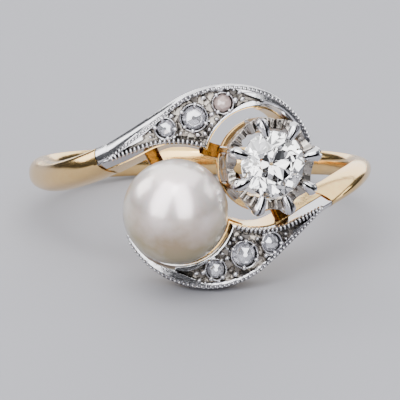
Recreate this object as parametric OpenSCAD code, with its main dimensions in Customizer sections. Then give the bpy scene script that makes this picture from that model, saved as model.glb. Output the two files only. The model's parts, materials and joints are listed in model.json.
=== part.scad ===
// Crossover ring with two main stones: a pearl and an old cut diamond that lie side by side across
// the finger, each under a curved leaf set with three small stones.
// The ring lies on its side. Its head looks along -Y and its finger hole runs nearly along Z.

/* [Finger hoop] */
// Inner diameter of the finger hole
finger_d = 17.6; // [15:0.1:22]
// Width of the hoop along the finger, at the back
back_w = 1.7; // [1.3:0.05:2.6]
// Thickness of the hoop at the back
back_t = 1.2; // [1:0.05:2]
// Width of the hoop along the finger, at the sides
side_w = 1.75; // [1.4:0.05:2.8]
// Thickness of the hoop at the sides
side_t = 1.3; // [1:0.05:2]
// Angle from the middle of the head to the hoop's side, where the arms end
side_angle = 80; // [70:1:95]
// Height of the hoop's straight side wall, from the finger to where its dome starts
wall_h = 0.45; // [0.3:0.05:0.8]
// Chamfer where the hoop meets the finger
edge_w = 0.2; // [0.05:0.05:0.3]
// How much slimmer the right side of the hoop is, at its lower edge
right_slim = 0.45; // [0:0.05:0.6]

/* [Leaves] */
// Thickness of the head, from the finger to the face of the leaves
head_t = 2.1; // [1.7:0.05:3]
// Thickness of the platinum plates
plate_t = 0.75; // [0.5:0.05:1]
// Free space between a main stone and the leaf around it
nest_gap = 0.3; // [0.15:0.05:0.8]
// Width of a leaf at its narrowest, beside its tip
tip_w = 0.15; // [0.1:0.05:0.8]
// Place of a leaf's outer arc, as a share of the way from the head's middle to a main stone
arc_share = 0.27; // [0.15:0.01:0.4]
// Angle of the tip of a leaf, seen from the stone that it curls around
tip_angle = 24; // [10:1:40]
// Free space between a main stone and the arch of the other leaf, at its crest
arch_gap = 0.88; // [0.4:0.02:1.5]
// Distance from a main stone down to the centre of that arch
arch_drop = 1.5; // [0.8:0.1:3]
// Distance from a main stone sideways to the centre of that arch
arch_shift = 0.18; // [0:0.02:0.6]
// Slope of an arm and of the inner edge of its leaf
arm_slope = 20.6; // [15:0.2:26]
// Slope of the outer edge of a leaf's face where it narrows to its arm
edge_slope = 40; // [36:0.5:46]
// Angle on the outer arc that lies across from the inner edge's cusp
cusp_angle = 112; // [104:1:118]
// Distance round the ring from the middle of the head to where platinum meets gold
leaf_reach = 7.25; // [7:0.05:8.5]
// Width of the upper leaf's smooth bevel outside its face, at the narrow end
upper_bevel_w = 0.95; // [0.3:0.05:1.2]
// Width of the lower leaf's bevel, at the narrow end
lower_bevel_w = 0.35; // [0.2:0.05:1.2]
// Depth of that bevel below the face
bevel_drop = 0.55; // [0.3:0.05:0.7]
// Width of the ridge where the two edges of the face meet
ridge_w = 0.12; // [0.08:0.02:0.3]
// Width of the raised border of a plate
border_w = 0.2; // [0.1:0.02:0.3]
// Depth of the sunk floor inside the border
floor_sink = 0.12; // [0.05:0.01:0.25]
// How far the gold shows beyond the platinum at the inner edges
gold_lip = 0.12; // [0:0.02:0.3]
// How far the gold flares at the finger, at the inner edges
gold_flare = 0.55; // [0.1:0.05:0.7]
// How far the gold draws in at the finger, at the outer edges
gold_draft = 0.3; // [0:0.05:0.4]

/* [Small stones] */
// Diameter of the two small stones of a leaf
small_stone_d = 1; // [0.6:0.05:1.2]
// Diameter of its large stone
large_stone_d = 1.35; // [0.8:0.05:1.6]
// Height of their girdle above their flat back
rose_girdle = 0.3; // [0.15:0.01:0.35]
// Diameter of the grains that hold them
grain_d = 0.34; // [0.2:0.02:0.5]

/* [Pearl] */
// Diameter of the pearl
pearl_d = 5.95; // [4.5:0.05:7.5]
// Height of the pearl's lowest point above the finger
pearl_lift = 0.43; // [0.35:0.01:1.2]
// Thickness of the cup's wall
cup_wall = 0.3; // [0.2:0.05:0.5]
// Height of the cup above the pearl's lowest point
cup_h = 0.95; // [0.6:0.05:1.4]
// Diameter of the peg in the pearl
peg_d = 0.8; // [0.5:0.05:1.2]
// Length of the peg above the cup's floor
peg_len = 2; // [1:0.1:3]

/* [Diamond] */
// Diameter of the diamond at its girdle
diamond_d = 3.8; // [3:0.05:4.6]
// Height of the girdle above the finger
girdle_lift = 3.5; // [3.2:0.05:4.5]
// Width of the table as a share of the diameter
table_share = 0.53; // [0.45:0.01:0.65]
// Height of the crown as a share of the diameter
crown_share = 0.17; // [0.12:0.01:0.2]
// Depth of the pavilion as a share of the diameter
pavilion_share = 0.42; // [0.38:0.01:0.46]
// Thickness of the girdle
girdle_t = 0.08; // [0.04:0.01:0.15]
// Width of the culet as a share of the diameter
culet_share = 0.06; // [0.03:0.01:0.12]
// Where the star facets end, as a share of the way from the table to the girdle
star_share = 0.42; // [0.3:0.01:0.6]
// Where the facets under the girdle end, as a share of the radius
half_share = 0.42; // [0.25:0.01:0.6]

/* [Coronet] */
// Number of claws
claws = 8; // [6:1:8]
// Angle of the first claw
claw_turn = 20.8; // [0:0.2:45]
// How far the diamond sits further out along the ring than the middle of its base ring
collet_shift = 0.25; // [0:0.05:0.3]
// How far the claws reach beyond the diamond's girdle
claw_reach = 0.78; // [0.5:0.02:1.1]
// Thickness of the coronet's wall
collet_wall = 0.5; // [0.35:0.05:0.7]
// How far the coronet's wall leans out from its foot to its rim
collet_lean = 0.25; // [0:0.05:0.4]
// How far the claws stand out from the wall
claw_proud = 0.15; // [0.05:0.05:0.3]
// Depth of the wall's rim below the diamond's girdle
rim_drop = 0.35; // [0.2:0.05:0.8]
// Width of the wall left beside a claw, between the arches
arch_land = 0.25; // [0.1:0.05:0.5]
// Width of a claw
claw_w = 0.52; // [0.35:0.01:0.7]
// How far a claw's tip reaches in over the diamond
claw_grip = 0.4; // [0.2:0.05:0.6]
// Thickness of a claw's tip above the diamond
claw_tip_t = 0.4; // [0.25:0.05:0.6]
// Height of the gold base ring's top above the finger
base_lift = 1.35; // [1.1:0.05:1.7]
// Thickness of the gold base ring
base_t = 0.95; // [0.6:0.05:1.1]
// Width of the gold base ring
base_w = 0.8; // [0.6:0.05:1]

/* [Pair and gallery] */
// Free space between the pearl and the coronet, before the diamond's shift
pair_gap = 0.21; // [0.1:0.01:0.6]
// Slope of the line between the two main stones
pair_angle = 26.6; // [18:0.2:34]
// Width of the gold bars between the leaves, the cup and the base ring
bar_w = 0.8; // [0.5:0.05:1.4]
// Height of those bars
bar_h = 0.85; // [0.5:0.05:1.1]
// How far a bar is let into what it joins
bar_in = 0.35; // [0.2:0.05:0.6]
// Angle of the bar to the arch, seen from the main stone that it starts at
arch_bar_angle = 118; // [100:1:130]
// Angle of the bar to the cusp, seen from the main stone that it starts at
cusp_bar_angle = 340; // [330:1:350]

/* [Fits and rest] */
// Gap between pieces that are set into each other
clear = 0.02; // [0.01:0.01:0.05]
// Roll of the ring where it comes to rest on its side
rest_roll = 0; // [-8:0.1:8]

/* [Hidden] */
$fn = 48;

gold = "#d8b878";
platinum = "#d4d6da";

// Radii from the finger's axis
bore_r = finger_d / 2;
face_r = bore_r + head_t;
plate_r = face_r - plate_t;
gold_r = plate_r - clear;
bevel_r = face_r - bevel_drop;
pearl_r = pearl_d / 2;
pearl_at = bore_r + pearl_lift + pearl_r;
girdle_at = bore_r + girdle_lift;
base_at = bore_r + base_lift;
diamond_r = diamond_d / 2;
collet_r = diamond_r + claw_reach;

// Rows of corners of the diamond, from its table to its culet
diamond_step = 45;
table_r = diamond_r * table_share;
star_r = mix(table_r, diamond_r, star_share);
half_r = diamond_r * half_share;
culet_r = diamond_r * culet_share;
crown_slope = crown_share * diamond_d / (diamond_r - table_r);
low_slope = pavilion_share * diamond_d / (diamond_r - culet_r);
table_z = girdle_at + girdle_t / 2 + crown_share * diamond_d;
star_z = girdle_at + girdle_t / 2 + crown_slope * (diamond_r - star_r * cos(diamond_step / 2));
half_z = girdle_at - girdle_t / 2 - low_slope * (diamond_r - half_r * cos(diamond_step / 2));
culet_z = girdle_at - girdle_t / 2 - pavilion_share * diamond_d;

// The two main stones: half the distance between them, at the height of the pearl's centre, and
// what that gives on the face of the leaves
pair_half = (pearl_r + collet_r + pair_gap) / 2;
stone_u = pair_half * cos(pair_angle) / pearl_at * 180 / PI;
stone_h = pair_half * sin(pair_angle);
nest = [stone_u * PI / 180 * face_r, stone_h];
nest_r = max(pearl_r, collet_r) + nest_gap;
collet_at = nest + [collet_shift, 0];

// One leaf, drawn on the unrolled face: x runs round the ring, y along the finger
arc_c = arc_share * nest;
arc_r = nest_r + tip_w + norm(nest - arc_c);
arch_c = -nest - [arch_shift, arch_drop];
arch_r = pearl_r + arch_gap + arch_drop;

function dir(a) = [cos(a), sin(a)];
function mix(a, b, t) = a + (b - a) * t;
function smooth(t) = t * t * (3 - 2 * t);
function deg_of(length, radius) = length / radius * 180 / PI;
function meet(a, ra, b, rb) =
    let (
        d = norm(b - a),
        x = (d * d + ra * ra - rb * rb) / (2 * d),
        y = sqrt(max(0, ra * ra - x * x)),
        e = (b - a) / d
    )
    a + x * e + y * [e.y, -e.x];
function cross_len(p, d, q, e) = ((q.x - p.x) * e.y - (q.y - p.y) * e.x) / (d.x * e.y - d.y * e.x);

inner_dir = -dir(arm_slope);
outer_dir = -dir(edge_slope);
outer_end = arc_c + arc_r * dir(90 + edge_slope);
function arch_end(off) = arch_c + (arch_r - off) * dir(90 + arm_slope);
inner_line = cross_len(arch_end(0), inner_dir, outer_end, outer_dir);
outer_line = cross_len(outer_end, outer_dir, arch_end(0), inner_dir);
joint_line = (leaf_reach + arch_end(0).x) / cos(arm_slope);
outer_arc = arc_r * (90 + edge_slope - cusp_angle) * PI / 180;

// Inner edge, moved by off towards the stones: round the nest, over the cusp and along the arch
function cusp(off) = meet(nest, nest_r - off, arch_c, arch_r - off);
function angle_from(c, p) = atan2(p.y - c.y, p.x - c.x);
function on_nest(t, off) =
    nest + (nest_r - off) * dir(mix(tip_angle, angle_from(nest, cusp(off)), t));
function on_arch(length, off) =
    let (
        r = arch_r - off,
        a = angle_from(arch_c, cusp(off)),
        arc = r * (90 + arm_slope - a) * PI / 180
    )
    length < arc ? arch_c + r * dir(a + deg_of(length, r)) : arch_end(off) + (length - arc) * inner_dir;
function arch_len(off) =
    (arch_r - off) * (90 + arm_slope - angle_from(arch_c, cusp(off))) * PI / 180 + inner_line;

// Stations along a leaf, from its tip to the joint with its arm
nest_steps = 16;
arch_steps = 14;
ridge_steps = 2;
leaf_steps = nest_steps + arch_steps + ridge_steps;
tip_turn = angle_from(arc_c, on_nest(0, 0));
function arch_share(i) = min(1, (i - nest_steps) / arch_steps);
function ridge_len(i) =
    max(0, i - nest_steps - arch_steps) / ridge_steps * (joint_line - inner_line);
function inner_at(i, off) =
    i <= nest_steps
        ? on_nest(i / nest_steps, off)
        : on_arch(arch_share(i) * arch_len(off) + ridge_len(i), off);
function outer_turn(i) =
    i <= nest_steps
        ? mix(tip_turn, cusp_angle, i / nest_steps)
        : min(90 + edge_slope, cusp_angle + deg_of(arch_share(i) * (outer_arc + outer_line), arc_r));
function outer_len(i) = arch_share(i) * (outer_arc + outer_line) - outer_arc;
function outer_at(i) =
    arc_c + arc_r * dir(outer_turn(i))
    + (i > nest_steps ? max(0, outer_len(i)) * outer_dir + ridge_len(i) * inner_dir : [0, 0]);
function outer_way(i) =
    i <= nest_steps + arch_steps
        ? dir(outer_turn(i))
        : dir(90 + (arm_slope + edge_slope) / 2);
crown_len = arc_r * edge_slope * PI / 180 + outer_line;
function bevel_share(i) =
    let (length = arc_r * (outer_turn(i) - 90) * PI / 180 + (i > nest_steps ? max(0, outer_len(i)) : 0))
    pow(max(0, length / crown_len), 2);
function face_edge(i) = outer_at(i) + ridge_w / 2 * outer_way(i);
function side_edge(i, bevel) = face_edge(i) + bevel * bevel_share(i) * outer_way(i);
function inner_edge(i, off) = inner_at(i, off + ridge_w / 2);

// A point of the unrolled face at a radius, on the ring whose head looks along -Y
function on_ring(p, r) =
    let (u = p.x / face_r * 180 / PI)
    [r * sin(u), -r * cos(u), p.y];

// Sections of the gold, from the tip of the upper leaf round the hoop
dome_steps = 10;
dig = 1.25 * edge_w;
function leaf_section(i, bevel, shift) =
    let (
        side = side_edge(i, bevel) + shift,
        drawn_in = side - gold_draft * outer_way(i),
        lip = inner_edge(i, gold_lip) + shift,
        foot = inner_edge(i, gold_flare) + shift
    )
    concat(
        [on_ring(drawn_in, bore_r - dig), on_ring(drawn_in, bore_r + edge_w)],
        [for (k = [0:dome_steps]) on_ring(mix(side, lip, k / dome_steps), gold_r)],
        [on_ring(foot, bore_r + edge_w), on_ring(foot, bore_r - dig)]
    );
function dome(a, full) = pow(max(0, a), 2 / full);
function hoop_section(top, ridge, low, top_r, ridge_r, low_r, full, draft) =
    let (soft = [0, edge_w], drawn_in = top - [0, draft])
    concat(
        [on_ring(drawn_in - soft, bore_r - dig), on_ring(drawn_in, bore_r + edge_w)],
        [
            for (k = [0:dome_steps])
                let (
                    a = 180 * k / dome_steps,
                    side = a < 90 ? top : low,
                    side_r = a < 90 ? top_r : low_r
                )
                on_ring(
                    mix(ridge, side, dome(abs(cos(a)), full)),
                    mix(side_r, ridge_r, dome(sin(a), full))
                )
        ],
        [on_ring(low, bore_r + edge_w), on_ring(low + soft, bore_r - dig)]
    );

// An arm leaves the joint with its own slope and runs level into the hoop's side
side_x = side_angle * PI / 180 * face_r;
function arm_edge(from, to, t) =
    let (run = from.x - to.x)
    [
        mix(from.x, to.x, t),
        mix(from.y, to.y, smooth(t)) - tan(arm_slope) * run * t * (1 - t) * (1 - t)
    ];
seam = clear * inner_dir;
arm_sharp = 1.15;
arm_full = 2.3;
function arm_section(t, bevel, slim) =
    hoop_section(
        arm_edge(side_edge(leaf_steps, bevel) + 2 * seam, [-side_x, side_w / 2 - slim], t),
        arm_edge(inner_at(leaf_steps, 0) + 2 * seam, [-side_x, -slim / 2], t),
        arm_edge(inner_edge(leaf_steps, gold_flare) + 2 * seam, [-side_x, -side_w / 2], t),
        mix(bevel_r, bore_r + wall_h, smooth(t)),
        mix(face_r, bore_r + side_t, smooth(t)),
        bore_r + mix(edge_w * 1.5, wall_h, smooth(t)),
        mix(arm_sharp, arm_full, smooth(min(1, 3 * t))),
        gold_draft * (1 - smooth(t))
    );
function back_section(t, slim) =
    let (
        x = -mix(side_x, PI * face_r, t),
        w = mix(side_w, back_w, smooth(t)) / 2,
        top = w - slim * (1 - smooth(t))
    )
    hoop_section(
        [x, top], [x, (top - w) / 2], [x, -w],
        bore_r + wall_h, bore_r + mix(side_t, back_t, smooth(t)), bore_r + wall_h, arm_full, 0
    );

arm_steps = 12;
back_steps = 14;
function half_hoop(bevel, slim) = concat(
    [for (i = [0:leaf_steps]) leaf_section(i, bevel, i == leaf_steps ? seam : [0, 0])],
    [for (k = [0:arm_steps]) arm_section(k / arm_steps, bevel, slim)],
    [for (k = [1:back_steps]) back_section(k / back_steps, slim)]
);
function half_turned(p) = [-p.x, p.y, -p.z];
function other_half(sections) =
    let (last = len(sections) - 2)
    [
        for (i = [last:-1:0])
            let (n = len(sections[i]))
            [for (k = [n - 1:-1:0]) half_turned(sections[i][k])]
    ];
hoop = concat(half_hoop(upper_bevel_w, 0), other_half(half_hoop(lower_bevel_w, right_slim)));

// Sections of a platinum plate
function plate_section(i, bevel) =
    let (
        side = side_edge(i, bevel),
        edge = face_edge(i),
        inner = inner_edge(i, 0),
        w = norm(edge - inner),
        rim = min(border_w, 0.38 * w) / w,
        sink = floor_sink * max(0, min(1, (w - 2 * border_w) / (2 * border_w))),
        foot = inner_edge(i, gold_lip / 2)
    )
    [
        on_ring(side, plate_r),
        on_ring(side + clear / 20 * outer_way(i), bevel_r),
        on_ring(edge, face_r),
        on_ring(mix(edge, inner, rim), face_r),
        on_ring(mix(edge, inner, rim * 1.1), face_r - sink),
        on_ring(mix(inner, edge, rim * 1.1), face_r - sink),
        on_ring(mix(inner, edge, rim), face_r),
        on_ring(inner, face_r),
        on_ring(foot, plate_r)
    ];
function plate(bevel) = [for (i = [0:leaf_steps]) plate_section(i, bevel)];

// Where the small stones sit in a leaf: angle and distance from the centre of its outer arc, the
// distance as a share of the arc's radius
TURN = 0;
SHARE = 1;
SIZE = 2;
leaf_stones = [
    [142, 0.88, small_stone_d],
    [120.6, 0.763, large_stone_d],
    [95.7, 0.815, small_stone_d]
];
function stone_at(row) = arc_c + row[SHARE] * arc_r * dir(row[TURN]);
grain_turns = [35, 145, 215, 325];

// Resting on its side: the head is tilted up until the lower leaf and the back of the hoop both
// touch the ground
points = concat(
    [for (section = hoop) each section],
    [for (section = plate(upper_bevel_w)) each section],
    [for (section = plate(lower_bevel_w), p = section) half_turned(p)]
);
function pitched(p, a) = [p.x, p.y * cos(a) + p.z * sin(a), p.z * cos(a) - p.y * sin(a)];
function rolled(p, a) = [p.x * cos(a) + p.z * sin(a), p.y, p.z * cos(a) - p.x * sin(a)];
function bored(p) =
    let (share = max(1, bore_r / norm([p.x, p.y])))
    [p.x * share, p.y * share, p.z];
front = [for (p = points) if (p.y < 0) bored(p)];
rear = [for (p = points) if (p.y > 0) bored(p)];
function lowest(list, a) = min([for (p = list) rolled(pitched(p, a), rest_roll).z]);
function level_pitch(low, high, n) =
    let (a = (low + high) / 2)
    n == 0 ? a : lowest(front, a) < lowest(rear, a) ? level_pitch(a, high, n - 1) : level_pitch(low, a, n - 1);
rest_pitch = level_pitch(0, 40, 24);
placed = [for (p = concat(front, rear)) rolled(pitched(p, rest_pitch), rest_roll)];
pearl_c = on_ring([-nest.x, -nest.y], pearl_at);
pearl_placed = rolled(pitched(pearl_c, rest_pitch), rest_roll);
low_z = min([for (p = placed) p.z]);
mid_x = (min([for (p = placed) p.x]) + max([for (p = placed) p.x])) / 2;
mid_y = (min(pearl_placed.y - pearl_r, min([for (p = placed) p.y])) + max([for (p = placed) p.y])) / 2;

module resting() {
    translate([-mid_x, -mid_y, -low_z])
        rotate([0, rest_roll, 0])
            rotate([-rest_pitch, 0, 0])
                children();
}

// Stands its children on a point of the unrolled face, with z as the distance from the finger's axis
module standing_at(p) {
    translate([0, 0, p.y])
        rotate([0, 0, p.x / face_r * 180 / PI])
            rotate([90, 0, 0])
                children();
}

module half_turn() {
    rotate([0, 180, 0]) children();
}

// Closed skin through a list of sections that have the same number of points
module skin(sections) {
    n = len(sections[0]);
    last = len(sections) - 1;
    polyhedron(
        points = [for (section = sections) each section],
        faces = concat(
            [
                for (i = [0:last - 1], k = [0:n - 1])
                    let (a = i * n, b = a + n, m = (k + 1) % n)
                    each [[a + k, a + m, b + m], [a + k, b + m, b + k]]
            ],
            [for (k = [0:n - 3]) [n - 1, k + 1, k]],
            [for (k = [1:n - 2]) [last * n, last * n + k, last * n + k + 1]]
        )
    );
}

// A bar between two distances from a main stone, at an angle
module bar(turn, from, to) {
    rotate([0, 0, turn])
        translate([from, -bar_w / 2, bore_r + base_lift - base_t / 2 - bar_h / 2])
            cube([to - from, bar_w, bar_h]);
}

module pearl_cup() {
    cup_r = pearl_r + clear + cup_wall;
    intersection() {
        difference() {
            translate([0, 0, pearl_at]) sphere(r = cup_r);
            translate([0, 0, pearl_at]) sphere(r = pearl_r + clear);
        }
        cylinder(r = 2 * cup_r, h = bore_r + pearl_lift + cup_h);
    }
    translate([0, 0, bore_r + pearl_lift - cup_wall / 2])
        cylinder(d = peg_d, h = peg_len + cup_wall / 2);
}

// Its wall leans out from the finger to a thin straight rim
module base_ring() {
    top = base_at;
    lean = base_w * 0.4;
    rim = 0.25;
    rotate_extrude()
        polygon([
            [collet_r - base_w - lean / 2, top - base_t],
            [collet_r - lean, top - base_t],
            [collet_r, top - rim],
            [collet_r, top],
            [collet_r - base_w, top]
        ]);
}

// The bars stay under the plates and clear of the pearl
module gallery() {
    cup_bar = pearl_r - cup_h;
    arch_far = pearl_r + arch_gap + bar_in;
    cusp_far = nest_r + bar_in;
    difference() {
        union() {
            standing_at(-nest) {
                bar(arch_bar_angle, cup_bar - bar_in, arch_far);
                bar(cusp_bar_angle, cup_bar - bar_in, cusp_far);
                bar(pair_angle, cup_bar - bar_in, 2 * pair_half + collet_shift - collet_r + bar_in);
            }
            standing_at(nest) {
                bar(arch_bar_angle + 180, collet_r - collet_shift - bar_in, arch_far);
                bar(cusp_bar_angle - 180, collet_r - collet_shift - bar_in, cusp_far);
            }
        }
        difference() {
            cylinder(r = 2 * face_r, h = finger_d, center = true);
            cylinder(r = gold_r - clear, h = 2 * finger_d, center = true);
        }
        standing_at(-nest)
            translate([0, 0, pearl_at])
                sphere(r = pearl_r + clear + cup_wall / 2);
    }
}

// Drawn round from the middle of the head
module finger_hole() {
    rotate([0, 0, -90])
        translate([0, 0, -finger_d])
            cylinder(r = bore_r, h = 2 * finger_d);
}

module shank() {
    color(gold)
        resting()
            difference() {
                union() {
                    skin(hoop);
                    gallery();
                    standing_at(-nest)
                        pearl_cup();
                    standing_at(collet_at)
                        base_ring();
                }
                finger_hole();
            }
}

module leaf_plate(bevel) {
    color(platinum)
        difference() {
            union() {
                skin(plate(bevel));
                for (row = leaf_stones, a = grain_turns)
                    standing_at(stone_at(row) + (row[SIZE] / 2 + grain_d / 3) * dir(row[TURN] + a))
                        translate([0, 0, face_r - floor_sink])
                            sphere(d = grain_d, $fn = 20);
            }
            for (row = leaf_stones)
                standing_at(stone_at(row))
                    translate([0, 0, plate_r + plate_t / 4])
                        cylinder(d = row[SIZE] + 2 * clear, h = plate_t * 2);
        }
}

module upper_leaf() {
    resting() leaf_plate(upper_bevel_w);
}

module lower_leaf() {
    resting() half_turn() leaf_plate(lower_bevel_w);
}

// The diamond's own outline with a gap around it, as a solid of revolution
module diamond_space(gap) {
    rotate_extrude()
        polygon([
            [0, culet_z - gap],
            [culet_r + gap, culet_z - gap],
            [half_r + gap, half_z - gap],
            [diamond_r + gap, girdle_at - girdle_t / 2 - gap],
            [diamond_r + gap, girdle_at + girdle_t / 2 + gap],
            [star_r + gap, star_z + gap],
            [table_r + gap, table_z + gap],
            [0, table_z + gap]
        ]);
}

// A claw stands straight outside, rounds over above the girdle and ends over the diamond
module claw() {
    foot = base_at + clear;
    top = girdle_at + girdle_t / 2;
    tip_top = top + claw_tip_t;
    tip = diamond_r - claw_grip;
    shoulder = claw_reach * 0.22;
    brow = claw_reach * 0.7;
    rotate([90, 0, 0])
        translate([0, 0, -claw_w / 2])
            linear_extrude(claw_w)
                polygon([
                    [collet_r - collet_wall - collet_lean, foot],
                    [collet_r - collet_lean, foot],
                    [collet_r, girdle_at - claw_grip],
                    [collet_r, top + claw_tip_t / 4],
                    [collet_r - shoulder, tip_top],
                    [collet_r - brow, tip_top + claw_tip_t * 0.3],
                    [tip, tip_top + claw_tip_t * 0.2],
                    [tip, top],
                    [tip, girdle_at - claw_grip * 1.5]
                ]);
}

module diamond_collet() {
    foot = base_at + clear;
    rim = girdle_at - rim_drop;
    outer = collet_r - claw_proud;
    color(platinum)
        resting()
            standing_at(collet_at)
                difference() {
                    union() {
                        rotate_extrude()
                            polygon([
                                [outer - collet_wall - collet_lean, foot],
                                [outer - collet_lean, foot],
                                [outer, rim],
                                [outer - collet_wall, rim]
                            ]);
                        for (k = [0:claws - 1])
                            rotate([0, 0, claw_turn + k * 360 / claws])
                                claw();
                    }
                    diamond_space(clear);
                    for (k = [0:claws - 1])
                        rotate([0, 0, claw_turn + (k + 0.5) * 360 / claws])
                            translate([0, 0, rim])
                                rotate([0, 90, 0])
                                    cylinder(d = 2 * PI * collet_r / claws - claw_w - arch_land, h = 2 * collet_r);
                }
}

// Old cut: eight mains, eight stars and sixteen halves over and under the girdle, and an open culet
module diamond() {
    half = diamond_step / 2;
    function row(radius, z, turn, n) = [for (k = [0:n - 1]) concat(radius * dir(turn + k * 360 / n), z)];
    table = row(table_r, table_z, 0, 8);
    stars = row(star_r, star_z, half, 8);
    upper = row(diamond_r, girdle_at + girdle_t / 2, 0, 16);
    lower = row(diamond_r, girdle_at - girdle_t / 2, 0, 16);
    halves = row(half_r, half_z, half, 8);
    culet = row(culet_r, culet_z, 0, 8);
    T = 0;
    S = 8;
    U = 16;
    L = 32;
    H = 48;
    C = 56;
    color("#eef2f5")
        resting()
            standing_at(collet_at)
                polyhedron(
                    points = concat(table, stars, upper, lower, halves, culet),
                    faces = [
                        [for (k = [7:-1:0]) T + k],
                        [for (k = [0:7]) C + k],
                        for (k = [0:7])
                            let (m = (k + 1) % 8, p = (k + 7) % 8, g = 2 * k, g1 = 2 * k + 1, g2 = (2 * k + 2) % 16)
                            each [
                                [T + k, T + m, S + k],
                                [T + k, S + k, U + g],
                                [T + k, U + g, S + p],
                                [S + k, U + g1, U + g],
                                [S + k, U + g2, U + g1],
                                [U + g, U + g1, L + g1, L + g],
                                [U + g1, U + g2, L + g2, L + g1],
                                [L + g, L + g1, H + k],
                                [L + g1, L + g2, H + k],
                                [L + g, H + k, C + k],
                                [L + g, C + k, H + p],
                                [H + k, C + m, C + k]
                            ]
                    ]
                );
}

module pearl() {
    color("#efe6da")
        resting()
            standing_at(-nest)
                difference() {
                    translate([0, 0, pearl_at])
                        sphere(r = pearl_r);
                    translate([0, 0, bore_r])
                        cylinder(d = peg_d + 2 * clear, h = pearl_lift + peg_len + 0.15);
                }
}

// Small cut stone: flat back, girdle, two rows of facets and a small table
module rose_diamond(row) {
    r = row[SIZE] / 2;
    base = plate_r + plate_t / 4 + clear;
    girdle = base + rose_girdle;
    rows = [
        [0.92, base, 0],
        [1, girdle - girdle_t / 2, 0],
        [1, girdle, 0],
        [0.74, girdle + r * 0.42, 22.5],
        [0.36, girdle + r * 0.62, 0]
    ];
    n = 8;
    color("#e6eaee")
        standing_at(stone_at(row))
            polyhedron(
                points = [for (q = rows, k = [0:n - 1]) concat(q[0] * r * dir(q[2] + k * 360 / n), q[1])],
                faces = [
                    [for (k = [0:n - 1]) k],
                    [for (k = [n - 1:-1:0]) (len(rows) - 1) * n + k],
                    for (i = [0:len(rows) - 2], k = [0:n - 1])
                        let (a = i * n, b = a + n, m = (k + 1) % n, p = (k + n - 1) % n)
                        each (
                            rows[i][2] == rows[i + 1][2]
                                ? [[a + k, b + k, b + m, a + m]]
                                : rows[i][2] < rows[i + 1][2]
                                    ? [[a + k, b + k, a + m], [a + k, b + p, b + k]]
                                    : [[a + k, b + m, a + m], [a + k, b + k, b + m]]
                        )
                ]
            );
}

module rose_diamond_1() { resting() rose_diamond(leaf_stones[0]); }
module rose_diamond_2() { resting() rose_diamond(leaf_stones[1]); }
module rose_diamond_3() { resting() rose_diamond(leaf_stones[2]); }
module rose_diamond_4() { resting() half_turn() rose_diamond(leaf_stones[0]); }
module rose_diamond_5() { resting() half_turn() rose_diamond(leaf_stones[1]); }
module rose_diamond_6() { resting() half_turn() rose_diamond(leaf_stones[2]); }

shank();
upper_leaf();
lower_leaf();
diamond_collet();
diamond();
pearl();
rose_diamond_1();
rose_diamond_2();
rose_diamond_3();
rose_diamond_4();
rose_diamond_5();
rose_diamond_6();
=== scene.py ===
# %% [markdown]
# # A crossover ring in platinum and gold
# The ring has two main stones side by side across the finger: a pearl in a gold cup and an old cut
# diamond in a coronet of claws. A leaf of platinum curls round each, set with three rose cut stones.
# Everything is drawn in millimetres on the ring's own axis, as a goldsmith would lay it out, and is
# turned into its place at the very end of each piece. That keeps the numbers readable.

import json
from math import atan2, cos, degrees, hypot, pi, radians, sin, sqrt, tan

import bmesh
import bpy
from mathutils import Matrix, Vector, noise


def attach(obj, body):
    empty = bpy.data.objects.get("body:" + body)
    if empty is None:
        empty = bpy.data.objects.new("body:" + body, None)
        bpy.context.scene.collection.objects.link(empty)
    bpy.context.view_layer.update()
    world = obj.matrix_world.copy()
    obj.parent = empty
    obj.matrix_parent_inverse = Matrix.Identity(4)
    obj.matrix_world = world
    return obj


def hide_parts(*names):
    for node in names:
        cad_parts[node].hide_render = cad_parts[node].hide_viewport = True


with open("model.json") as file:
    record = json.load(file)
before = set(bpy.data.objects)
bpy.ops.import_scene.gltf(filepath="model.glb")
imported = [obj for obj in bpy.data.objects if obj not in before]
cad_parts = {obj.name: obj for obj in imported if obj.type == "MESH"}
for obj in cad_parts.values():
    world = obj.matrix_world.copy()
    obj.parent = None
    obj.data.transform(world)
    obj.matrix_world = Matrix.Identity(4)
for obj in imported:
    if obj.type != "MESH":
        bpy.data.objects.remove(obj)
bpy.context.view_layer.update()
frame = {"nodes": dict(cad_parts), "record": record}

# %% [markdown]
# ## From the drawing to the table
# The ring lies on its side, so its axis leans a little. Every point could be drawn leaning, but the
# frame says where the middle of the finger hole is and which way it runs, and these two give one
# matrix from an upright drawing to the table.

# %% The ring's place
bore = next(m for m in frame["record"]["mounts"] if m["name"] == "finger_bore")
ring_tilt = atan2(bore["axis"][1], bore["axis"][2])
ring_place = (
    Matrix.Translation(bore["pos_m"])
    @ Matrix.Rotation(-ring_tilt, 4, "X")
    @ Matrix.Scale(0.001, 4)
)
print("The ring's axis leans", round(degrees(ring_tilt), 2), "degrees")

# %% [markdown]
# ## Sizes
# These are the solid model's sizes, in millimetres and degrees. The leaves are drawn on the unrolled
# face of the ring, where x runs round the finger and y along it. A height above the finger is called
# a lift, while pearl_at, girdle_at and base_at are distances from the finger's axis.

# %% Sizes of the hoop
# The finger hole, the head's height on it, the platinum on top, and the play between two pieces.
finger_d, head_t, plate_t, clear = 17.6, 2.1, 0.75, 0.02
# The hoop's width and thickness at the back, and at the side where an arm ends.
back_w, back_t, side_w, side_t = 1.7, 1.2, 1.75, 1.3
# Where the side is, the height of the hoop's walls and inner corner, and how slim the right side is.
side_angle, wall_h, edge_w, right_slim = 80, 0.45, 0.2, 0.45

bore_r = finger_d / 2
face_r = bore_r + head_t
plate_r = face_r - plate_t
gold_r = plate_r - clear
print("Finger hole", finger_d, "mm, face of the leaves at radius", face_r)

# %% Sizes of the two main stones
pearl_d, pearl_lift = 5.95, 0.43
# The diamond and its girdle's lift, the claws' reach round it, and how far the coronet stands aside.
diamond_d, girdle_lift, claw_reach, collet_shift = 3.8, 3.5, 0.78, 0.25
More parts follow.
